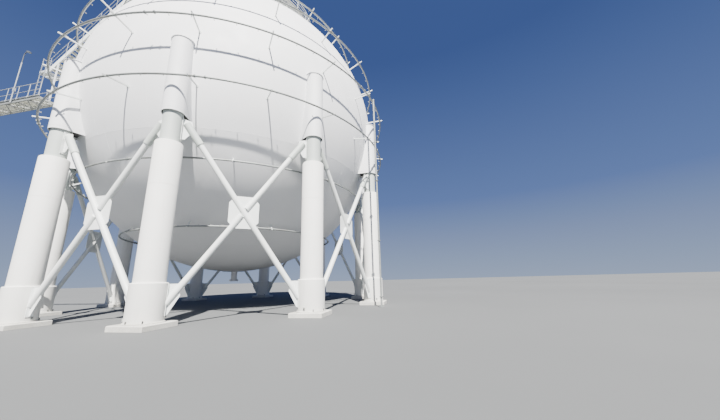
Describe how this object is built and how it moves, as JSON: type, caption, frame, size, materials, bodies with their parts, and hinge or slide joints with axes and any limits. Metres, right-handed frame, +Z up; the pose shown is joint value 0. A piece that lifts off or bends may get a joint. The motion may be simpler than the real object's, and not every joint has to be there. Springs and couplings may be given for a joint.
{
  "type": "spherical gas tank",
  "caption": "Spherical pressure gas tank: white ball shell on clad columns with X bracing, water spray rings, round top platform, side stair and an access walkway on a trestle",
  "frame": {"origin": "on the ground under the middle of the overall bounding box; the sphere's vertical axis stands 4.0 m along +X from it", "axes": "+Z up; +X along the walkway from its outer end toward the sphere and through column 01; +Y from the stair side to the far side"},
  "size_m": [32.8081, 24.5102, 27.95],
  "materials": {
    "white_paint": "satin white paint, faintly weathered",
    "cladding": "matt white coating over fireproofing",
    "galvanised": "weathered galvanised grating and beams",
    "pipe_grey": "dull grey paint",
    "off_white": "satin off-white paint"
  },
  "bodies": {
    "root": {"shell_bottom_cap": "white_paint", "shell_lower_zone": "white_paint", "shell_equator_zone": "white_paint", "shell_upper_zone": "white_paint", "shell_top_cap": "white_paint", "column_01": "cladding", "column_02": "cladding", "column_03": "cladding", "column_04": "cladding", "column_05": "cladding", "column_06": "cladding", "column_07": "cladding", "column_08": "cladding", "column_09": "cladding", "column_10": "cladding", "brace_01_02": "white_paint", "brace_02_03": "white_paint", "brace_03_04": "white_paint", "brace_04_05": "white_paint", "brace_05_06": "white_paint", "brace_06_07": "white_paint", "brace_07_08": "white_paint", "brace_08_09": "white_paint", "brace_09_10": "white_paint", "brace_10_01": "white_paint", "spray_ring_1": "pipe_grey", "spray_ring_2": "pipe_grey", "spray_ring_3": "pipe_grey", "spray_ring_4": "pipe_grey", "spray_ring_5": "pipe_grey", "spray_ring_6": "pipe_grey", "spray_riser": "pipe_grey", "platform_deck": "galvanised", "platform_railing": "off_white", "top_nozzles": "white_paint", "bottom_nozzles": "white_paint", "walkway_deck": "galvanised", "walkway_railing_near": "off_white", "walkway_railing_far": "off_white", "walkway_trestle": "off_white", "stair_landing": "off_white", "access_ladder": "off_white", "stair_flight": "white_paint", "stair_railing_near": "white_paint", "stair_railing_far": "white_paint", "stair_head_landing": "off_white", "platform_steps": "off_white", "walkway_lamp": "off_white", "platform_lamp_front": "off_white", "platform_lamp_back": "off_white"}
  },
  "joints": []
}
